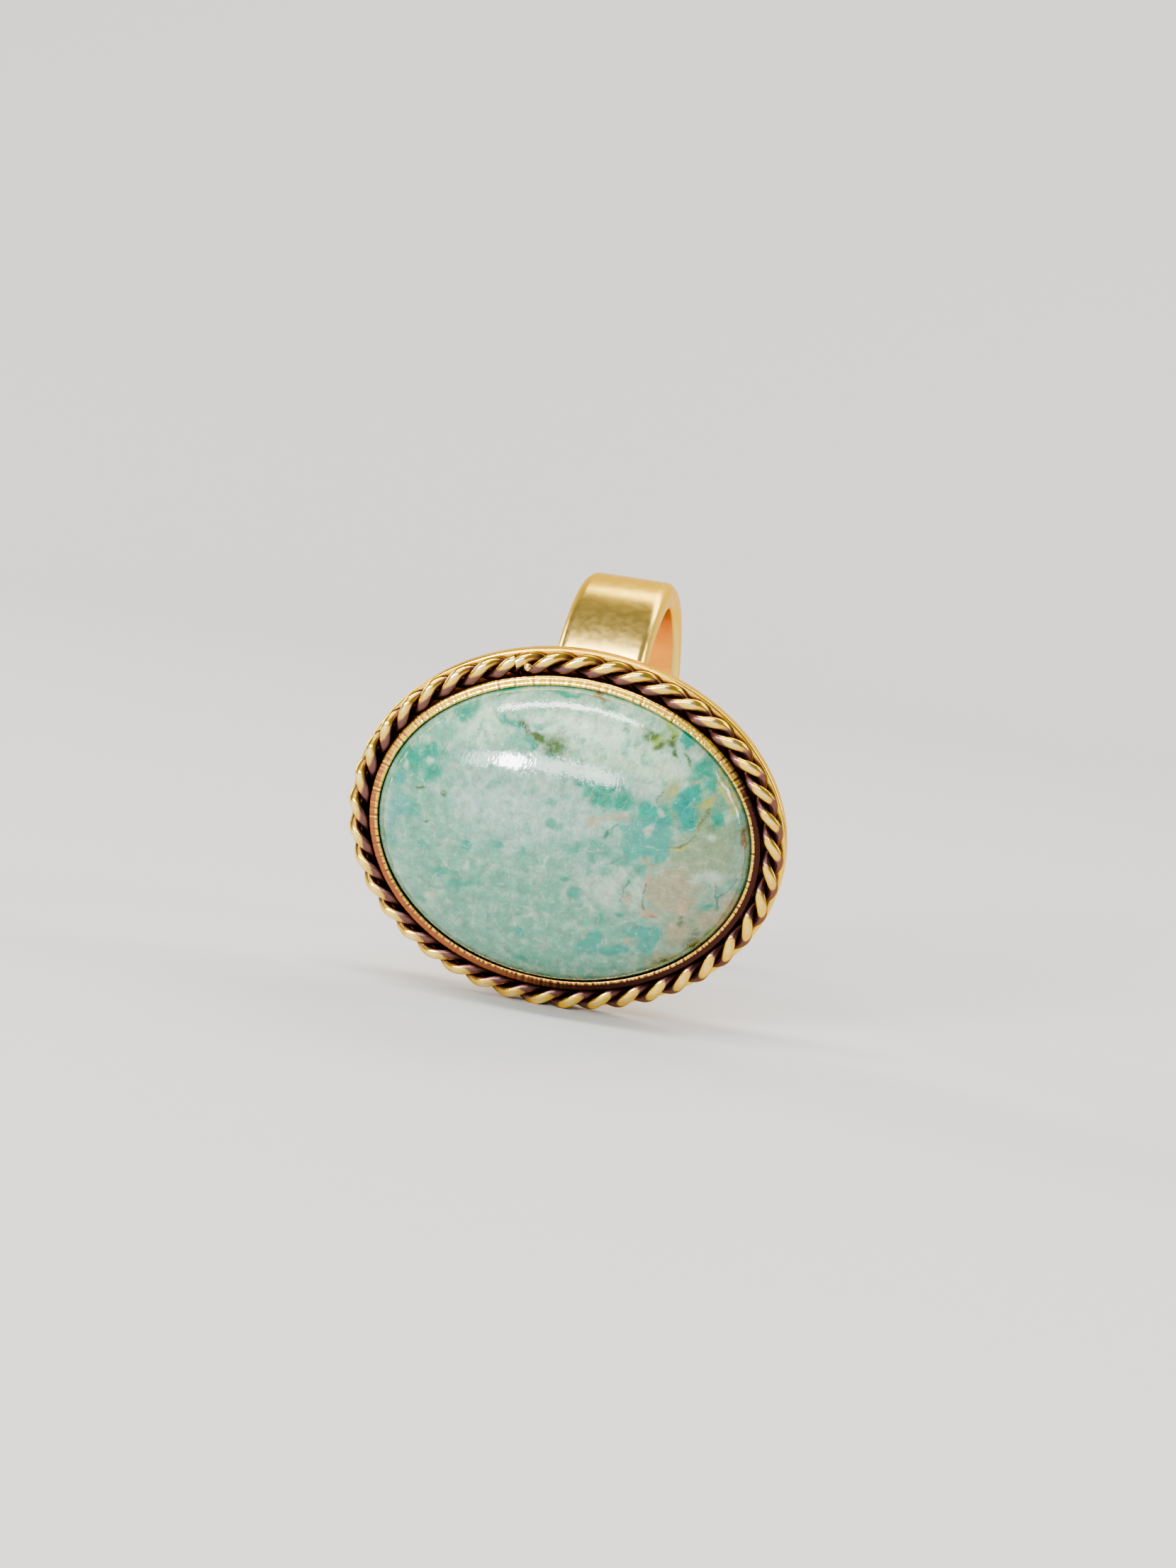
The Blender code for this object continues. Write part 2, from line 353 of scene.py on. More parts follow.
# How much of the wires' brightness the painted shade takes, and how far it turns the rubbed side to the
# front.
SHADE_DARKENS = 0.5
SHADE_TURNS = 0.8

# The bead of solder on the border: its radius and its painted highlight, and how far it is from the seam
# along the border, outward of the border's middle line and in front of it.
BEAD_RADIUS = 0.20 * MM
BEAD_HIGHLIGHT = 1.3
BEAD_FROM_SEAM = 0.55 * MM
BEAD_OUTWARD = -0.10 * MM
BEAD_FORWARD = 0.36 * MM
# The solder between band and plate: the angles from the stone's axis where it starts to thin and where it
# ends, and how far it spreads past the band's sides, as a share of the band's half width.
SOLDER_FROM = math.radians(19)
SOLDER_TO = math.radians(31)
SOLDER_SPREAD = 0.08

# Where the bezel's lip has the most painted light and where the head's painted shade is the darkest,
# anticlockwise round the outline from its right end.
BEST_LIT_ROUND_LIP = math.radians(80)
DARKEST_SHADE_ROUND_HEAD = math.radians(-28)
# How much the painted shade changes round the head, and how much of it is taken off everywhere.
SHADE_SWING = 1.6
SHADE_OFFSET = 0.35

# The bezel's upper part wavers: from what share of its height, over what share it grows to the full, how
# far it goes in and out, and how far down.
WAVER_FROM = 0.55
WAVER_GROWS_OVER = 0.40
WAVER_REACH = 0.022 * MM
WAVER_DROP = 0.010 * MM
WAVER_WAVES = (3, 4, 5, 7, 11)
WAVER_SEED = 3
# The burnisher's marks across the lip, and how deep they are on its ridge and beside it.
MARK_WAVES = (131, 167, 199, 233, 271)
MARK_SEED = 5
RIDGE_MARK_DEPTH = 0.007 * MM
SLOPE_MARK_DEPTH = 0.002 * MM
# The lip's painted light, lighter at the top and darker at the bottom: its mean, and how much that changes
# round the outline.
LIP_LIGHT = 0.55
LIP_LIGHT_SWING = 0.50
# The values of the lip's ridge and slope that the brass is coloured by: a level, and the shares of the
# lip's painted light and of the marks that are added to it. Painted shade takes its share from the slope's
# depth.
RIDGE_PROUD = (0.62, 0.60, 0.45)
RIDGE_DEPTH = (0.55, 0.0, 0.30)
SLOPE_PROUD = (0.0, 1.0, 0.25)
SLOPE_DEPTH = (0.50, 0.0, 0.15)
SLOPE_SHADE = 0.85

# How proud the plate's rim is, and where its tarnished front begins, in border radii outward of the
# border's middle line.
PLATE_RIM_PROUD = 0.72
PLATE_DARK_WITHIN = 0.3

# How far the markings' outlines wander, in millimetres, and how many times a millimetre they turn.
SWIRL_SCALE = 0.8
SWIRL_REACH = 0.30
WOBBLE_SCALE = 3.0
WOBBLE_REACH = 0.12
WANDER_SEED = 4
# Half the width of a crack in millimetres, and a distance that is out of reach of every oval and crack.
CRACK_HALF_WIDTH = 0.085
OUT_OF_REACH = 10.0
# The faint web of chalk: how far it drifts and half its width in millimetres, and its cells a millimetre.
WEB_DRIFT = 1.3
WEB_HALF_WIDTH = 0.07
WEB_SCALE = 0.8
# How deep the stone's pits and scratches are, and the band's scratches.
PIT_DEPTH = 0.012 * MM
STONE_SCRATCH_DEPTH = 0.008 * MM
BAND_SCRATCH_DEPTH = 0.0025 * MM
# How far above the rubbed level the brass begins to turn pale with a painted highlight, and where it is
# wholly so.
HIGHLIGHT_FROM = 0.15
HIGHLIGHT_TO = 0.55

# The floor in metres, and how the floor, the room and the lights are coloured.
FLOOR_HALF_WIDTH = 1.5
FLOOR_FRONT = -1.4
SWEEP_FROM = 0.25
SWEEP_RADIUS = 0.2
FLOOR_TOP = 1.2
FLOOR_COLOR = (0.56, 0.55, 0.54)
FLOOR_ROUGHNESS = 0.7
ROOM_COLOR = (0.78, 0.79, 0.82, 1.0)
ROOM_STRENGTH = 0.38
WHITE = (1.0, 1.0, 1.0)
WARM_WHITE = (1.0, 0.97, 0.92)
WARMER_WHITE = (1.0, 0.96, 0.90)


def upright_pose():
    """Where the middle of the ring's hole lies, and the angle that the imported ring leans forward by."""
    low, high = frame["record"]["physics"]["openings"][0]["box_m"]
    widest = max(frame["nodes"]["base_plate"].data.polygons, key=lambda face: face.area)
    lean = math.atan2(abs(widest.normal.z), abs(widest.normal.y))
    return (Vector(low) + Vector(high)) / 2, lean


HOLE_CENTRE, LEAN = upright_pose()
POSE = Matrix.Translation(HOLE_CENTRE) @ Matrix.Rotation(LEAN, 4, "X")


def oval_point(angle, offset):
    """The outline at a distance from the girdle: x, z, and the x and z of its outward direction."""
    normal_x = GIRDLE_B * np.cos(angle)
    normal_z = GIRDLE_A * np.sin(angle)
    length = np.hypot(normal_x, normal_z)
    normal_x = normal_x / length
    normal_z = normal_z / length
    x = GIRDLE_A * np.cos(angle) + offset * normal_x
    z = GIRDLE_B * np.sin(angle) + offset * normal_z
    return x, z, normal_x, normal_z


def smooth_noise(angles, waves, seed):
    """A closed curve of random ups and downs, mostly between -1 and 1, made of whole waves."""
    source = np.random.default_rng(seed)
    total = np.zeros_like(angles)
    for wave in waves:
        total += np.sin(wave * angles + source.uniform(0, 2 * math.pi)) * source.uniform(0.5, 1.0)
    return total / math.sqrt(len(waves))


def smooth_step(share):
    """Carries 0 to 1 smoothly to 0 to 1, and what is outside to the nearer end."""
    share = min(1.0, max(0.0, share))
    return share * share * (3.0 - 2.0 * share)


def ring_of(points_x, points_z, level):
    """A row of points at one distance in front of the hole's middle, or at one for each point."""
    return np.stack([points_x, -level * np.ones_like(points_x), points_z], axis=-1)


def grid_mesh(name, rows, closed_rows, caps):
    """A mesh over a grid of points, with quads between neighbours. Each row is a closed loop. The last row
    is joined to the first if the rows are closed, and the first and the last are filled if it has caps."""
    row_count, column_count, _ = rows.shape
    index = np.arange(row_count * column_count).reshape(row_count, column_count)
    if closed_rows:
        index = np.vstack([index, index[:1]])
    index = np.hstack([index, index[:, :1]])
    quads = np.stack([index[:-1, :-1], index[1:, :-1], index[1:, 1:], index[:-1, 1:]], axis=-1)
    faces = quads.reshape(-1, 4).tolist()
    if caps:
        last = (row_count - 1) * column_count
        faces.append(list(range(column_count)))
        faces.append([last + i for i in reversed(range(column_count))])
    mesh = bpy.data.meshes.new(name)
    mesh.from_pydata(rows.reshape(-1, 3).tolist(), [], faces)
    return mesh


def face_outward(mesh):
    build = bmesh.new()
    build.from_mesh(mesh)
    bmesh.ops.recalc_face_normals(build, faces=build.faces)
    build.to_mesh(mesh)
    build.free()


def add_piece(name, mesh, node, material):
    """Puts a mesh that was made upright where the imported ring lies, in place of its node if it has one."""
    face_outward(mesh)
    mesh.shade_smooth()
    mesh.set_sharp_from_angle(angle=SHARP_FROM)
    mesh.transform(POSE)
    mesh.materials.append(material)
    piece = bpy.data.objects.new(name, mesh)
    bpy.context.scene.collection.objects.link(piece)
    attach(piece, "root")
    if node:
        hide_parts(node)


def point_values(mesh, name, values):
    """Stores one number for each point, which a material reads by its name."""
    layer = mesh.attributes.new(name, "FLOAT", "POINT")
    layer.data.foreach_set("value", np.asarray(values, np.float32).ravel())


class Graph:
    """Short calls that add the nodes of one material."""

    def __init__(self, name):
        self.material = bpy.data.materials.new(name)
        self.material.use_nodes = True
        self.nodes = self.material.node_tree.nodes
        self.links = self.material.node_tree.links
        self.shader = self.nodes["Principled BSDF"]

    def set(self, socket, value):
        if isinstance(value, bpy.types.NodeSocket):
            self.links.new(value, socket)
        elif socket.type == "RGBA":
            socket.default_value = (*value, 1.0)
        else:
            socket.default_value = value

    def add(self, kind, inputs=None, **settings):
        node = self.nodes.new(kind)
        for key, value in settings.items():
            setattr(node, key, value)
        for key, value in (inputs or {}).items():
            self.set(node.inputs[key], value)
        return node

    def math(self, operation, first, second=0.0, third=0.0):
        node = self.add("ShaderNodeMath", {0: first, 1: second, 2: third}, operation=operation)
        return node.outputs[0]

    def vector(self, operation, first, second):
        node = self.add("ShaderNodeVectorMath", {0: first, 1: second}, operation=operation)
        return node.outputs["Vector"]

    def ramp(self, value, low, high, bottom=0.0, top=1.0):
        """Carries a value between two levels smoothly to the range from bottom to top."""
        levels = {"Value": value, "From Min": low, "From Max": high, "To Min": bottom, "To Max": top}
        return self.add("ShaderNodeMapRange", levels, interpolation_type="SMOOTHSTEP").outputs["Result"]

    def mix(self, share, first, second, blend="MIX"):
        """Blends two colours. The node takes the share on socket 0 and the colours on 6 and 7."""
        node = self.add("ShaderNodeMix", data_type="RGBA", blend_type=blend)
        for socket, value in ((0, share), (6, first), (7, second)):
            self.set(node.inputs[socket], value)
        return node.outputs[2]

    def noise(self, place, scale, detail=2.0, roughness=0.5, output="Fac"):
        values = {"Vector": place, "Scale": scale, "Detail": detail, "Roughness": roughness}
        return self.add("ShaderNodeTexNoise", values).outputs[output]

    def point_value(self, name):
        return self.add("ShaderNodeAttribute", attribute_name=name).outputs["Fac"]

    def upright_place(self):
        """The place in millimetres, with the ring upright about its hole: x across the stone, z up it."""
        mapping = self.add(
            "ShaderNodeMapping",
            {"Vector": self.add("ShaderNodeTexCoord").outputs["Object"]},
            vector_type="TEXTURE",
        )
        mapping.inputs["Location"].default_value = HOLE_CENTRE
        mapping.inputs["Rotation"].default_value = (LEAN, 0.0, 0.0)
        mapping.inputs["Scale"].default_value = (MM, MM, MM)
        return mapping.outputs["Vector"]

    def bump(self, height, distance, below=None):
        node = self.add("ShaderNodeBump", {"Height": height, "Distance": distance})
        if below is not None:
            self.set(node.inputs["Normal"], below)
        return node.outputs["Normal"]

    def finish(self, **inputs):
        for key, value in inputs.items():
            self.set(self.shader.inputs[key.replace("_", " ")], value)
        return self.material


def wandering_places(places):
    """The places moved about a little, so that what is drawn through them loses its straight outlines."""
    noise.seed_set(WANDER_SEED)
    moved = []
    for x, z in places:
        swirl = noise.noise_vector((SWIRL_SCALE * x, 0.0, SWIRL_SCALE * z))
        wobble = noise.noise_vector((WOBBLE_SCALE * x, 0.0, WOBBLE_SCALE * z))
        moved.append((
            x + SWIRL_REACH * swirl.x + WOBBLE_REACH * wobble.x,
            z + SWIRL_REACH * swirl.z + WOBBLE_REACH * wobble.z,
        ))
    return np.array(moved)


def nearness(places, ovals):
    """How near each place is to the nearest of some ovals: 1 in its middle, 0 on its edge, less outside."""
    nearest = np.full(len(places), OUT_OF_REACH)
    for x, z, half_length, half_width, turn in ovals:
        across = places[:, 0] - x
        up = places[:, 1] - z
        cosine = math.cos(math.radians(turn))
        sine = math.sin(math.radians(turn))
        along = (cosine * across + sine * up) / half_length
        aside = (cosine * up - sine * across) / half_width
        nearest = np.minimum(nearest, np.hypot(along, aside))
    return 1.0 - nearest


def crack_distance(places):
    """How far each place is from the nearest crack, in millimetres."""
    nearest = np.full(len(places), OUT_OF_REACH)
    for crack in CRACKS:
        for start, end in zip(crack[:-1], crack[1:]):
            run = np.subtract(end, start)
            reached = np.clip((places - start) @ run / (run @ run), 0.0, 1.0)
            nearest = np.minimum(nearest, np.linalg.norm(places - start - reached[:, None] * run, axis=1))
    return nearest


# The stone's clouds and markings, in the order that they are laid over its ground colour: the name of their
# points' value, their ovals, their colour, how softly they end, how ragged and how strong they are.
CLOUDS = (
    ("grey", GREY_CLOUDS, PALE_GREY, 0.60, 0.8, 1.0),
    # The upper clouds are partly painted light from above.
    ("upper", UPPER_CLOUDS_AND_TOP_LIGHT, UPPER_GREEN, 0.60, 0.8, 0.9),
    # The green clouds hold painted shade along the lower rim.
    ("green", GREEN_CLOUDS_AND_RIM_SHADE, DEEP_GREEN, 0.60, 0.8, 0.7),
)
MARKINGS = (
    ("beige_green", BEIGE_GREEN_CLOUDS, BEIGE_GREEN, 0.50, 1.2, 0.80),
    ("pink_beige", PINK_BEIGE_CLOUDS, PINK_BEIGE, 0.45, 1.2, 0.80),
    ("teal", TEAL_MARKS, TEAL, 0.55, 0.9, 0.95),
    ("turquoise", TURQUOISE_MARKS, TURQUOISE, 0.28, 0.65, 1.0),
    ("blue", BLUE_MARKS, BLUE_TURQUOISE, 0.60, 0.8, 0.8),
    ("chalk", CHALK_MARKS, CHALK, 0.70, 1.2, 0.7),
    ("peach", PEACH_MARKS, PEACH, 0.60, 0.9, 0.5),
    ("lime", LIME_MARKS, LIME, 0.70, 1.2, 0.9),
    ("yellow", YELLOW_MARKS, YELLOW, 0.60, 1.0, 0.65),
    ("rust", RUST_MARKS, RUST, 0.60, 1.0, 0.8),
    ("olive", OLIVE_MARKS, OLIVE, 0.70, 1.3, 0.95),
)


# Fine speckles over the stone's ground, over its clouds and over its markings: their colour, the shift and
# the scale of their noise, the levels between which they come up, and how strong they are.
GROUND_SPECKLES = (
    (DEEP_GREEN, 0.0, 0.9, 0.44, 0.58, 0.90),
)
CLOUD_SPECKLES = (
    (MINT, 11.0, 1.5, 0.46, 0.64, 0.80),
    (SMUDGE, 23.0, 1.7, 0.54, 0.74, 0.85),
    (CHALK, 37.0, 1.3, 0.44, 0.72, 0.55),
)
MARKING_SPECKLES = (
    (CHALK, 53.0, 2.2, 0.50, 0.76, 0.40),
    (PINK_BEIGE, 71.0, 1.4, 0.60, 0.72, 0.45),
)


def centred(graph, place, scale, detail, reach):
    """Noise about zero, times a reach."""
    return graph.math("MULTIPLY_ADD", graph.noise(place, scale, detail, 0.6), reach, -reach / 2)


def laid_over(stone, ragged, color, layers):
    """The colour with some clouds or markings over it, their edges frayed by the ragged noise."""
    for name, _, layer_color, softness, raggedness, strength in layers:
        level = stone.math("MULTIPLY_ADD", ragged, raggedness, stone.point_value(name))
        share = stone.ramp(level, low=-softness, high=softness, top=strength)
        color = stone.mix(share, color, layer_color)
    return color


def speckled(stone, flat, color, speckles):
    """The colour with some kinds of speckles over it."""
    for speckle_color, shift, scale, low, high, strength in speckles:
        place = stone.vector("ADD", flat, (shift, 0.0, -shift))
        level = stone.noise(place, scale, detail=7.0, roughness=0.68)
        color = stone.mix(stone.ramp(level, low, high, top=strength), color, speckle_color)
    return color


def veined(stone, flat, ragged, color):
    """The colour with the cracks, the speckles that lie over them and a faint web of chalk."""
    drift_noise = stone.noise(flat, scale=1.1, detail=3.0, roughness=0.6, output="Color")
    drift = stone.vector("MULTIPLY", drift_noise, (WEB_DRIFT, 0.0, WEB_DRIFT))
    crack = stone.ramp(stone.point_value("crack"), low=0.0, high=CRACK_HALF_WIDTH, bottom=0.85, top=0.0)
    color = stone.mix(crack, color, DARK_VEIN)
    color = speckled(stone, flat, color, MARKING_SPECKLES)
    web_place = {"Vector": stone.vector("ADD", flat, drift), "Scale": WEB_SCALE}
    web = stone.add("ShaderNodeTexVoronoi", web_place, feature="DISTANCE_TO_EDGE").outputs["Distance"]
    thread = stone.ramp(web, low=0.0, high=WEB_HALF_WIDTH, bottom=0.5, top=0.0)
    where_ragged = stone.ramp(ragged, low=-0.1, high=0.3)
    return stone.mix(stone.math("MULTIPLY", thread, where_ragged), color, CHALK)


def grained(stone, flat, color):
    """The colour made lighter and darker in small grains."""
    coarse = centred(stone, flat, scale=2.2, detail=5.0, reach=1.4)
    fine = centred(stone, flat, scale=9.0, detail=3.0, reach=0.7)
    shade = stone.math("ADD", stone.math("ADD", coarse, fine), 1.0)
    shades = stone.add("ShaderNodeCombineColor", {0: shade, 1: shade, 2: shade}).outputs[0]
    return stone.mix(1.0, color, shades, "MULTIPLY")


def stone_material():
    """Polished turquoise: chalky grey-green, clouded with beige, marked with vivid turquoise and olive."""
    stone = Graph("turquoise_polished")
    place = stone.upright_place()
    flat = stone.vector("MULTIPLY", place, (1.0, 0.0, 1.0))
    coarse = centred(stone, flat, scale=1.9, detail=7.0, reach=1.6)
    fine = centred(stone, flat, scale=7.0, detail=4.0, reach=0.8)
    ragged = stone.math("ADD", coarse, fine)
    color = speckled(stone, flat, GREY_GREEN, GROUND_SPECKLES)
    color = laid_over(stone, ragged, color, CLOUDS)
    color = speckled(stone, flat, color, CLOUD_SPECKLES)
    color = laid_over(stone, ragged, color, MARKINGS)
    color = veined(stone, flat, ragged, color)
    color = grained(stone, flat, color)

    brushed = stone.vector("MULTIPLY", place, (1.0, 1.0, 0.07))
    scratches = stone.noise(brushed, scale=7.0, detail=1.0, roughness=0.5)
    pits = stone.noise(flat, scale=2.2, detail=3.0, roughness=0.5)
    relief = stone.bump(pits, PIT_DEPTH)
    relief = stone.bump(scratches, STONE_SCRATCH_DEPTH, relief)
    gloss = stone.ramp(pits, low=0.3, high=0.7, bottom=0.05, top=0.12)
    return stone.finish(Base_Color=color, IOR=1.62, Roughness=gloss, Normal=relief)


# The brass's colours, clean and tarnished, its grime, and a pale one for painted highlights.
BRASS = paint(250, 203, 54)
COPPERY = paint(236, 172, 78)
HIGHLIGHT_BRASS = paint(255, 232, 142)
BAND_BRASS = paint(251, 212, 104)
MAUVE = paint(112, 76, 72)
COPPER_BROWN = paint(160, 92, 58)
GRIME = paint(64, 34, 28)
EDGE_TINT = paint(255, 214, 100)


def brass_color(brass, place):
    """Yellow brass, a little redder in clouds where it has tarnished."""
    cloud = brass.noise(place, scale=0.9, detail=4.0, roughness=0.6)
    return brass.mix(brass.ramp(cloud, low=0.42, high=0.66, top=0.5), BRASS, COPPERY)


def polished_brass(name):
    """Brass with fine scratches along the band."""
    brass = Graph(name)
    place = brass.upright_place()
    along_band = brass.vector("MULTIPLY", place, (1.0, 0.2, 0.2))
    scratches = brass.noise(along_band, scale=9.0, detail=4.0, roughness=0.7)
    smears = brass.noise(place, scale=2.5, detail=3.0, roughness=0.6)
    return brass.finish(
        Base_Color=BAND_BRASS,
        Specular_Tint=EDGE_TINT,
        Metallic=1.0,
        Roughness=brass.ramp(smears, low=0.3, high=0.7, bottom=0.18, top=0.25),
        Normal=brass.bump(scratches, BAND_SCRATCH_DEPTH),
    )


def worn_brass_with_highlights(name, tarnish, tarnished, rubbed, scratch_scale, scratch_depth):
    """Brass that is of the tarnish's colour where its points' "proud" value is below the tarnished level,
    bright above the rubbed one and pale with a painted highlight well above it, and black with grime where
    their "depth" value is near 0. On the lip and the wires these values also carry painted light and shade."""
    brass = Graph(name)
    place = brass.upright_place()
    smudge = centred(brass, place, scale=3.0, detail=5.0, reach=0.5)
    proud = brass.math("ADD", brass.point_value("proud"), smudge)
    depth = brass.math("MULTIPLY_ADD", smudge, 0.5, brass.point_value("depth"))
    clean = brass.ramp(proud, tarnished, rubbed)
    pale_highlight = brass.ramp(proud, rubbed + HIGHLIGHT_FROM, rubbed + HIGHLIGHT_TO)
    color = brass.mix(pale_highlight, brass_color(brass, place), HIGHLIGHT_BRASS)
    color = brass.mix(clean, tarnish, color)
    color = brass.mix(brass.ramp(depth, low=0.0, high=0.5), GRIME, color)
    scratches = brass.noise(place, scratch_scale, detail=2.0, roughness=0.6)
    return brass.finish(
        Base_Color=color,
        Specular_Tint=EDGE_TINT,
        Metallic=1.0,
        Roughness=brass.ramp(clean, low=0.0, high=1.0, bottom=0.28, top=0.20),
        Normal=brass.bump(scratches, scratch_depth),
    )


def make_stone():
    """The cabochon: a flat base, a low girdle and a half-ellipsoid dome with the markings' values."""
    around = np.linspace(0, 2 * math.pi, STONE_COLUMNS, endpoint=False)
    base = PLATE_FRONT + JOINT_GAP
    girdle = base + STONE_GIRDLE_HEIGHT
    rows = []
    for offset, level in ((-STONE_BASE_CHAMFER, base), (0.0, base + STONE_GIRDLE_HEIGHT / 2)):
        x, z, _, _ = oval_point(around, offset)
        rows.append(ring_of(x, z, level))
    for rise in 0.5 * math.pi * np.linspace(0, 1, STONE_ROWS, endpoint=False):
        x = math.cos(rise) * GIRDLE_A * np.cos(around)
        z = math.cos(rise) * GIRDLE_B * np.sin(around)
        rows.append(ring_of(x, z, girdle + STONE_DOME_HEIGHT * math.sin(rise)))
    rows = np.array(rows)
    mesh = grid_mesh("stone_dome", rows, closed_rows=False, caps=True)
    places = wandering_places(rows.reshape(-1, 3)[:, [0, 2]] / MM)
    for name, ovals, *_ in CLOUDS + MARKINGS:
        point_values(mesh, name, nearness(places, ovals))
    point_values(mesh, "crack", crack_distance(places))
    add_piece("stone_dome", mesh, "stone", stone_material())


def shade_round_head(around):
    """How much painted shade the head has at some angles round it, from 0 to 1, darkest towards the lower
    right.
    """
    return np.clip(SHADE_SWING * np.cos(around - DARKEST_SHADE_ROUND_HEAD) - SHADE_OFFSET, 0.0, 1.0)


def bezel_section():
    """The collar's section: for each point, how far it is outward of the girdle and in front of the plate,
    and whether it is on the lip's ridge, on its slope or on the dark walls."""
    lip = -LIP_OVERHANG
    outside = BEZEL_OUTSIDE
    inside = BEZEL_CLEARANCE
    thickness = BEZEL_THICKNESS
    height = BEZEL_HEIGHT
    return (
        (outside, JOINT_GAP, "dark"),
        (outside, 0.45 * height, "dark"),
        (outside + 0.05 * thickness, 0.70 * height, "slope"),
        (outside + 0.22 * thickness, 0.82 * height, "slope"),
        (outside + 0.20 * thickness, 0.88 * height, "slope"),
        (outside + 0.06 * thickness, 0.925 * height, "slope"),
        (outside - 0.30 * thickness, 0.955 * height, "slope"),
        (lip + 0.66 * thickness, 0.97 * height, "slope"),
        (lip + 0.52 * thickness, 0.98 * height, "ridge"),
        (lip + 0.36 * thickness, height, "ridge"),
        (lip + 0.14 * thickness, 0.99 * height, "ridge"),
        (lip + 0.02 * thickness, 0.965 * height, "ridge"),
        (lip, 0.94 * height, "slope"),
        (lip + 0.15 * thickness, 0.84 * height, "dark"),
        (inside - 0.03 * thickness, 0.70 * height, "dark"),
        (inside, 0.55 * height, "dark"),
        (inside, JOINT_GAP, "dark"),
    )


def make_bezel():
    """The collar, whose lip is pushed in over the stone's edge: it wavers, and the burnisher has left fine
    marks across it."""
    around = np.linspace(0, 2 * math.pi, BEZEL_COLUMNS, endpoint=False)
    waver = smooth_noise(around, WAVER_WAVES, WAVER_SEED)
    marks = smooth_noise(around, MARK_WAVES, MARK_SEED)
    # Painted light on the lip: lighter at the top, darker at the bottom.
    lip_light = LIP_LIGHT + LIP_LIGHT_SWING * np.cos(around - BEST_LIT_ROUND_LIP)

    def wear_and_light(weights):
        level, from_lip_light, from_marks = weights
        return level + from_lip_light * lip_light + from_marks * marks

    none = np.zeros(BEZEL_COLUMNS)
    proud_on = {"ridge": wear_and_light(RIDGE_PROUD), "slope": wear_and_light(SLOPE_PROUD), "dark": none}
    # Painted shade blackens the lip's slope towards the lower right.
    slope_depth = wear_and_light(SLOPE_DEPTH) - SLOPE_SHADE * shade_round_head(around)
    depth_on = {"ridge": wear_and_light(RIDGE_DEPTH), "slope": slope_depth, "dark": none}
    rows = []
    proud = []
    depth = []
    for offset, level, part in bezel_section():
        share = min(1.0, max(0.0, (level / BEZEL_HEIGHT - WAVER_FROM) / WAVER_GROWS_OVER))
        mark_depth = RIDGE_MARK_DEPTH if part == "ridge" else SLOPE_MARK_DEPTH
        x, z, _, _ = oval_point(around, offset + share * (WAVER_REACH * waver + mark_depth * marks))
        lift = share * (mark_depth * marks - WAVER_DROP * (1 + waver))
        rows.append(ring_of(x, z, PLATE_FRONT + level + lift))
        proud.append(proud_on[part])
        depth.append(depth_on[part])
    mesh = grid_mesh("bezel_collar", np.array(rows), closed_rows=True, caps=False)
    point_values(mesh, "proud", np.array(proud))
    point_values(mesh, "depth", np.array(depth))
    brass = worn_brass_with_highlights("bezel_brass", COPPER_BROWN, tarnished=0.45, rubbed=1.0,
                       scratch_scale=7.0, scratch_depth=0.008 * MM)
    add_piece("bezel_collar", mesh, "bezel", brass)


def make_base_plate():
    """The oval plate with its edge rounded over. Its front is dark under the border."""
    around = np.linspace(0, 2 * math.pi, PLATE_COLUMNS, endpoint=False)
    edge = PLATE_EDGE_RADIUS
    rounding = []
    for turn in np.linspace(0, 0.5 * math.pi, PLATE_EDGE_ROWS):
        rounding.append((PLATE_OFFSET - edge * (1 - math.sin(turn)), edge * (1 - math.cos(turn))))
    dark_within = ROPE_OFFSET + PLATE_DARK_WITHIN * ROPE_RADIUS
    section = [(offset, PLATE_BACK + rise) for offset, rise in rounding]
    section += [(offset, PLATE_FRONT - rise) for offset, rise in reversed(rounding)]
    section.append((dark_within, PLATE_FRONT))
    rows = []
    proud = []
    for offset, level in section:
        x, z, _, _ = oval_point(around, offset)
        rows.append(ring_of(x, z, level))
        proud.append(np.full_like(around, PLATE_RIM_PROUD if offset > dark_within else 0.0))
    mesh = grid_mesh("base_plate_oval", np.array(rows), closed_rows=False, caps=True)
    point_values(mesh, "proud", np.array(proud))
    point_values(mesh, "depth", np.array(proud))
    brass = worn_brass_with_highlights("plate_brass", MAUVE, tarnished=0.2, rubbed=0.7,
                       scratch_scale=4.0, scratch_depth=0.004 * MM)
    add_piece("base_plate_oval", mesh, "base_plate", brass)


def rope_route(count):
    """Evenly spaced stations once round the border's middle line, from its seam, clockwise as seen from the
    front. Returns x, z, outward x and outward z, and the line's whole length."""
    columns = oval_point(-2 * math.pi * np.arange(ROUTE_STEPS + 1) / ROUTE_STEPS, ROPE_OFFSET)
    steps = np.hypot(np.diff(columns[0]), np.diff(columns[1]))
    travelled = np.concatenate([[0.0], np.cumsum(steps)])
    total = travelled[-1]
    gap = JOINT_GAP / total
    wanted = (ROPE_SEAM + np.linspace(gap, 1.0 - gap, count)) % 1.0 * total
    return [np.interp(wanted, travelled, column) for column in columns], total


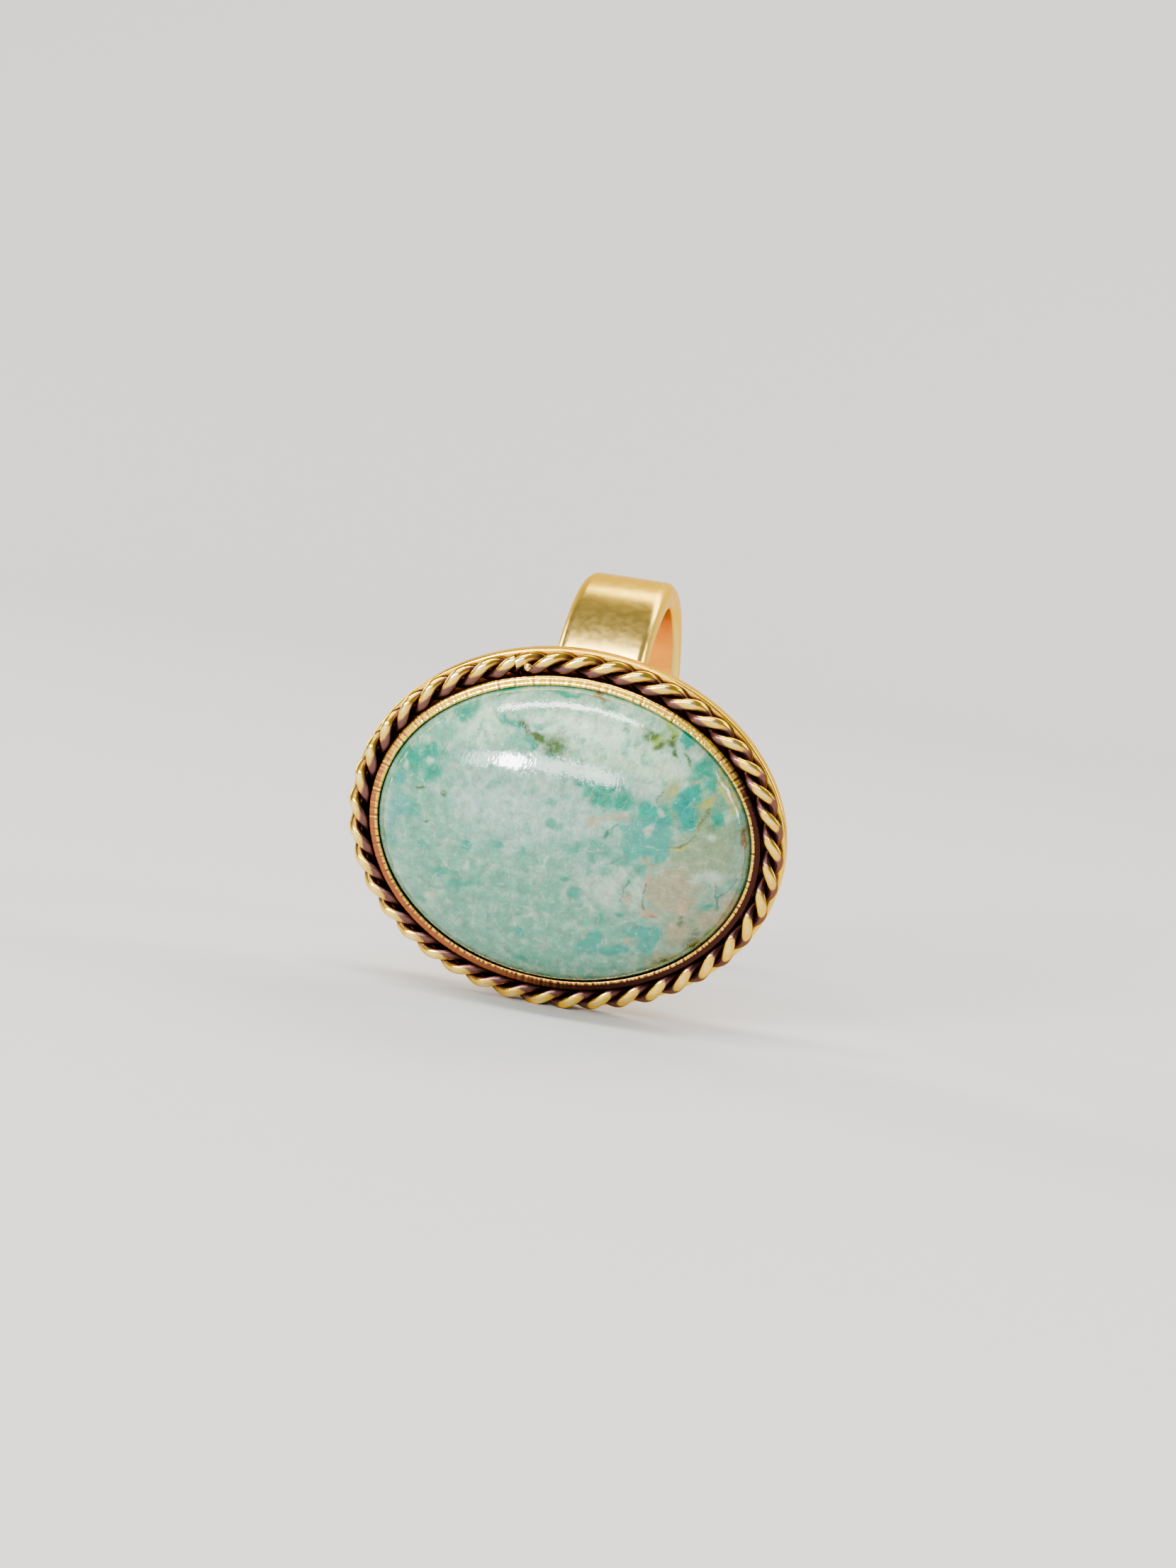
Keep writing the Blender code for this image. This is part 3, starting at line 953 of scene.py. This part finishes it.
def make_wire(name, node, strand, material):
    """One of the border's two wires, a helix round the border's middle line."""
    count = round(ROPE_CRESTS / 2 * STATIONS_A_TURN) + 1
    (x, z, out_x, out_z), total = rope_route(count)
    slope = math.pi * ROPE_CRESTS / total
    # Painted shade round the head, darkest towards the lower right: it darkens the wires there and turns
    # their tarnish to the front.
    head_shade = shade_round_head(np.arctan2(z, x))
    phase = math.pi * (SEAM_PHASE + strand - ROPE_CRESTS * np.linspace(0, 1, count))[:, None]
    zero = np.zeros(count)
    middle = ring_of(x, z, ROPE_LEVEL)
    out = np.stack([out_x, zero, out_z], axis=-1)
    along = np.stack([out_z, zero, -out_x], axis=-1)
    front = np.array([0.0, -1.0, 0.0])
    away = np.cos(phase) * out + np.sin(phase) * front
    turning = np.sin(phase) * out - np.cos(phase) * front
    heading = along + slope * HELIX_RADIUS * turning
    heading /= np.linalg.norm(heading, axis=1)[:, None]
    across = np.cross(heading, away)
    angle = 2 * math.pi * np.arange(WIRE_SIDES)[:, None] / WIRE_SIDES
    rows = []
    proud = []
    depth = []
    for i in range(count):
        spokes = np.cos(angle) * away[i] + np.sin(angle) * across[i]
        points = HELIX_RADIUS * away[i] + WIRE_RADIUS * spokes
        worn_off = (1.0 - CREST_KEPT) * np.maximum(points @ front - WORN_DOWN_TO * ROPE_RADIUS, 0.0)
        points = points - worn_off[:, None] * front
        if i in (0, count - 1):
            reach = points @ along[i] / (heading[i] @ along[i])
            points = points - reach[:, None] * heading[i]
        rows.append(middle[i] + points)
        rubbed_from = RUBBED_FROM * (1.0 - SHADE_TURNS * head_shade[i])
        facing = points @ (math.cos(rubbed_from) * front + math.sin(rubbed_from) * out[i]) / ROPE_RADIUS
        crest = np.clip((points @ front / ROPE_RADIUS - CREST_FROM) / CREST_GROWS_OVER, 0.0, 1.0)
        # The crest's painted highlight, stronger where the head has painted shade.
        highlight_share = crest * np.clip((facing - RUBBED_CREST_FROM) / CREST_GROWS_OVER, 0.0, 1.0)
        proud.append(facing - SHADE_DARKENS * head_shade[i] + (CREST_HIGHLIGHT + CREST_HIGHLIGHT_IN_SHADE * head_shade[i]) * highlight_share)
        depth.append(points @ (math.cos(OPEN_FROM) * front + math.sin(OPEN_FROM) * out[i]) / ROPE_RADIUS)
    mesh = grid_mesh(name, np.array(rows), closed_rows=False, caps=True)
    point_values(mesh, "proud", np.array(proud))
    point_values(mesh, "depth", np.array(depth))
    add_piece(name, mesh, node, material)


def make_solder_bead(material):
    """The bead of solder that was left in the groove beside the border's seam."""
    steps = ROUTE_STEPS // 2
    (x, z, out_x, out_z), total = rope_route(steps + 1)
    station = round(BEAD_FROM_SEAM / total * steps)
    centre = ring_of(x, z, ROPE_LEVEL)[station]
    centre = centre + BEAD_OUTWARD * np.array([out_x[station], 0.0, out_z[station]])
    centre[1] -= BEAD_FORWARD
    around = np.linspace(0, 2 * math.pi, BEAD_COLUMNS, endpoint=False)
    rows = []
    for rise in math.pi * np.linspace(-0.48, 0.48, BEAD_ROWS):
        radius = BEAD_RADIUS * math.cos(rise)
        level = BEAD_RADIUS * math.sin(rise)
        rows.append(centre + ring_of(radius * np.cos(around), radius * np.sin(around), level))
    mesh = grid_mesh("border_solder_bead", np.array(rows), closed_rows=False, caps=True)
    # The bead is set pale as a painted highlight.
    for value in ("proud", "depth"):
        point_values(mesh, value, np.full((BEAD_ROWS, BEAD_COLUMNS), BEAD_HIGHLIGHT))
    add_piece("border_solder_bead", mesh, None, material)


def make_shank():
    """The band: a flat strip with rounded edges, bent into a hoop and filed flat where the plate is
    soldered on, with the solder drawn up into a fillet on either side of the flat."""
    outer = BAND_OUTER_ROUND
    inner = BAND_INNER_ROUND
    half = BAND_WIDTH / 2
    corners = (
        (-half + inner, HOLE_RADIUS + inner, inner, 1.5, 1.0),
        (-half + outer, BAND_OUTER_RADIUS - outer, outer, 1.0, 0.5),
        (half - outer, BAND_OUTER_RADIUS - outer, outer, 0.5, 0.0),
        (half - inner, HOLE_RADIUS + inner, inner, 0.0, -0.5),
    )
    section = []
    for middle, radius, rounding, start, end in corners:
        for turn in np.linspace(start, end, BAND_CORNER_POINTS) * math.pi:
            section.append((middle + rounding * math.cos(turn), radius + rounding * math.sin(turn)))
    across, height = np.array(section).T
    outerness = (height - HOLE_RADIUS) / BAND_THICKNESS
    flat = PLATE_BACK - JOINT_GAP
    rows = []
    for around in LEAN + 2 * math.pi * (np.arange(BAND_STATIONS) + 0.5) / BAND_STATIONS:
        to_face = math.sin(around)
        x = across
        radius = height
        if to_face > 0:
            solder = 1.0 - smooth_step((math.acos(to_face) - SOLDER_FROM) / (SOLDER_TO - SOLDER_FROM))
            gap = max(flat / to_face - BAND_OUTER_RADIUS, 0.0)
            x = across * (1.0 + SOLDER_SPREAD * solder * outerness)
            radius = np.minimum(height + solder * gap * outerness, flat / to_face)
        rows.append(np.stack([x, -radius * to_face, -radius * math.cos(around)], axis=-1))
    mesh = grid_mesh("band", np.array(rows), closed_rows=True, caps=False)
    add_piece("band", mesh, "shank", polished_brass("band_brass"))


def make_floor():
    """A pale sheet that sweeps up behind the ring."""
    profile = [(FLOOR_FRONT, 0.0), (SWEEP_FROM, 0.0)]
    for turn in np.linspace(0, 0.5 * math.pi, SWEEP_ROWS)[1:]:
        profile.append((SWEEP_FROM + SWEEP_RADIUS * math.sin(turn), SWEEP_RADIUS * (1 - math.cos(turn))))
    profile.append((SWEEP_FROM + SWEEP_RADIUS, FLOOR_TOP))
    vertices = [(x, y, z) for y, z in profile for x in (-FLOOR_HALF_WIDTH, FLOOR_HALF_WIDTH)]
    faces = [(2 * i, 2 * i + 1, 2 * i + 3, 2 * i + 2) for i in range(len(profile) - 1)]
    mesh = bpy.data.meshes.new("floor_sweep")
    mesh.from_pydata(vertices, [], faces)
    mesh.shade_smooth()
    mesh.materials.append(Graph("floor_pale").finish(Base_Color=FLOOR_COLOR, Roughness=FLOOR_ROUGHNESS))
    floor = bpy.data.objects.new("floor_sweep", mesh)
    bpy.context.scene.collection.objects.link(floor)


def add_light(name, azimuth, elevation, distance, size, radiance, color=WHITE, long_side=None):
    """A soft panel in a direction from the stone, azimuth 0 being straight in front and 90 to the right."""
    turn = math.radians(azimuth)
    rise = math.radians(elevation)
    away = Vector((math.sin(turn) * math.cos(rise), -math.cos(turn) * math.cos(rise), math.sin(rise)))
    side = Vector(long_side) if long_side else Vector((0, 0, 1)).cross(away)
    side = (side - side.dot(away) * away).normalized()
    data = bpy.data.lights.new(name, "AREA")
    data.shape = "RECTANGLE"
    data.size, data.size_y = size
    data.energy = radiance * math.pi * size[0] * size[1]
    data.color = color
    light = bpy.data.objects.new(name, data)
    stone_middle = POSE @ Vector((0, -PLATE_FRONT, 0))
    facing = Matrix((side, away.cross(side), away)).transposed().to_4x4()
    light.matrix_world = Matrix.Translation(stone_middle + distance * away) @ facing
    bpy.context.scene.collection.objects.link(light)


def make_lights():
    add_light("window_strip", azimuth=-17, elevation=17, distance=0.50, size=(0.50, 0.08), radiance=18)
    add_light("window_core", azimuth=-26, elevation=16, distance=0.48, size=(0.085, 0.055), radiance=130)
    add_light("ceiling_strip", azimuth=-35, elevation=72, distance=0.55, size=(0.50, 0.07), radiance=40,
              color=WARM_WHITE, long_side=(1, 0, 0))
    add_light("front_panel", azimuth=-8, elevation=50, distance=0.55, size=(0.36, 0.20), radiance=5.0)
    add_light("right_panel", azimuth=108, elevation=24, distance=0.50, size=(0.14, 0.25), radiance=15,
              color=WARMER_WHITE)
    add_light("left_panel", azimuth=-116, elevation=20, distance=0.50, size=(0.14, 0.25), radiance=18)
    add_light("back_panel", azimuth=165, elevation=42, distance=0.60, size=(0.50, 0.22), radiance=9)
    world = bpy.data.worlds.new("soft_room")
    world.use_nodes = True
    backdrop = world.node_tree.nodes["Background"]
    backdrop.inputs["Color"].default_value = ROOM_COLOR
    backdrop.inputs["Strength"].default_value = ROOM_STRENGTH
    bpy.context.scene.world = world


def make_camera():
    """The photograph's view, set out from the middle of the bezel's lip and the way the stone faces."""
    back = Vector((
        math.sin(VIEW_RIGHT) * math.cos(VIEW_ABOVE),
        -math.cos(VIEW_RIGHT) * math.cos(VIEW_ABOVE),
        math.sin(VIEW_ABOVE),
    ))
    level_right = Vector((0, 0, 1)).cross(back).normalized()
    level_up = back.cross(level_right)
    right = math.cos(VIEW_ROLL) * level_right + math.sin(VIEW_ROLL) * level_up
    up = math.cos(VIEW_ROLL) * level_up - math.sin(VIEW_ROLL) * level_right
    lip_middle = Vector((0, -(PLATE_FRONT + BEZEL_HEIGHT), 0))
    place = lip_middle + VIEW_DISTANCE * back + LIP_LEFT_OF_CENTRE * right + LIP_BELOW_CENTRE * up
    turned = Matrix((right, up, back)).transposed().to_4x4()
    data = bpy.data.cameras.new("photo_view")
    data.sensor_width = SENSOR_MM
    data.lens = SENSOR_MM * VIEW_DISTANCE / VIEW_HEIGHT
    data.clip_start = CLIP_START
    data.clip_end = CLIP_END
    camera = bpy.data.objects.new("photo_view", data)
    bpy.context.scene.collection.objects.link(camera)
    camera.matrix_world = POSE @ Matrix.Translation(place) @ turned
    bpy.context.scene.camera = camera


make_stone()
make_bezel()
wire_material = worn_brass_with_highlights("border_brass", MAUVE, tarnished=0.34, rubbed=0.84,
                           scratch_scale=4.0, scratch_depth=0.010 * MM)
make_wire("border_wire_1", "wire_1", 0, wire_material)
make_wire("border_wire_2", "wire_2", 1, wire_material)
make_solder_bead(wire_material)
make_base_plate()
make_shank()
make_floor()
make_lights()
make_camera()
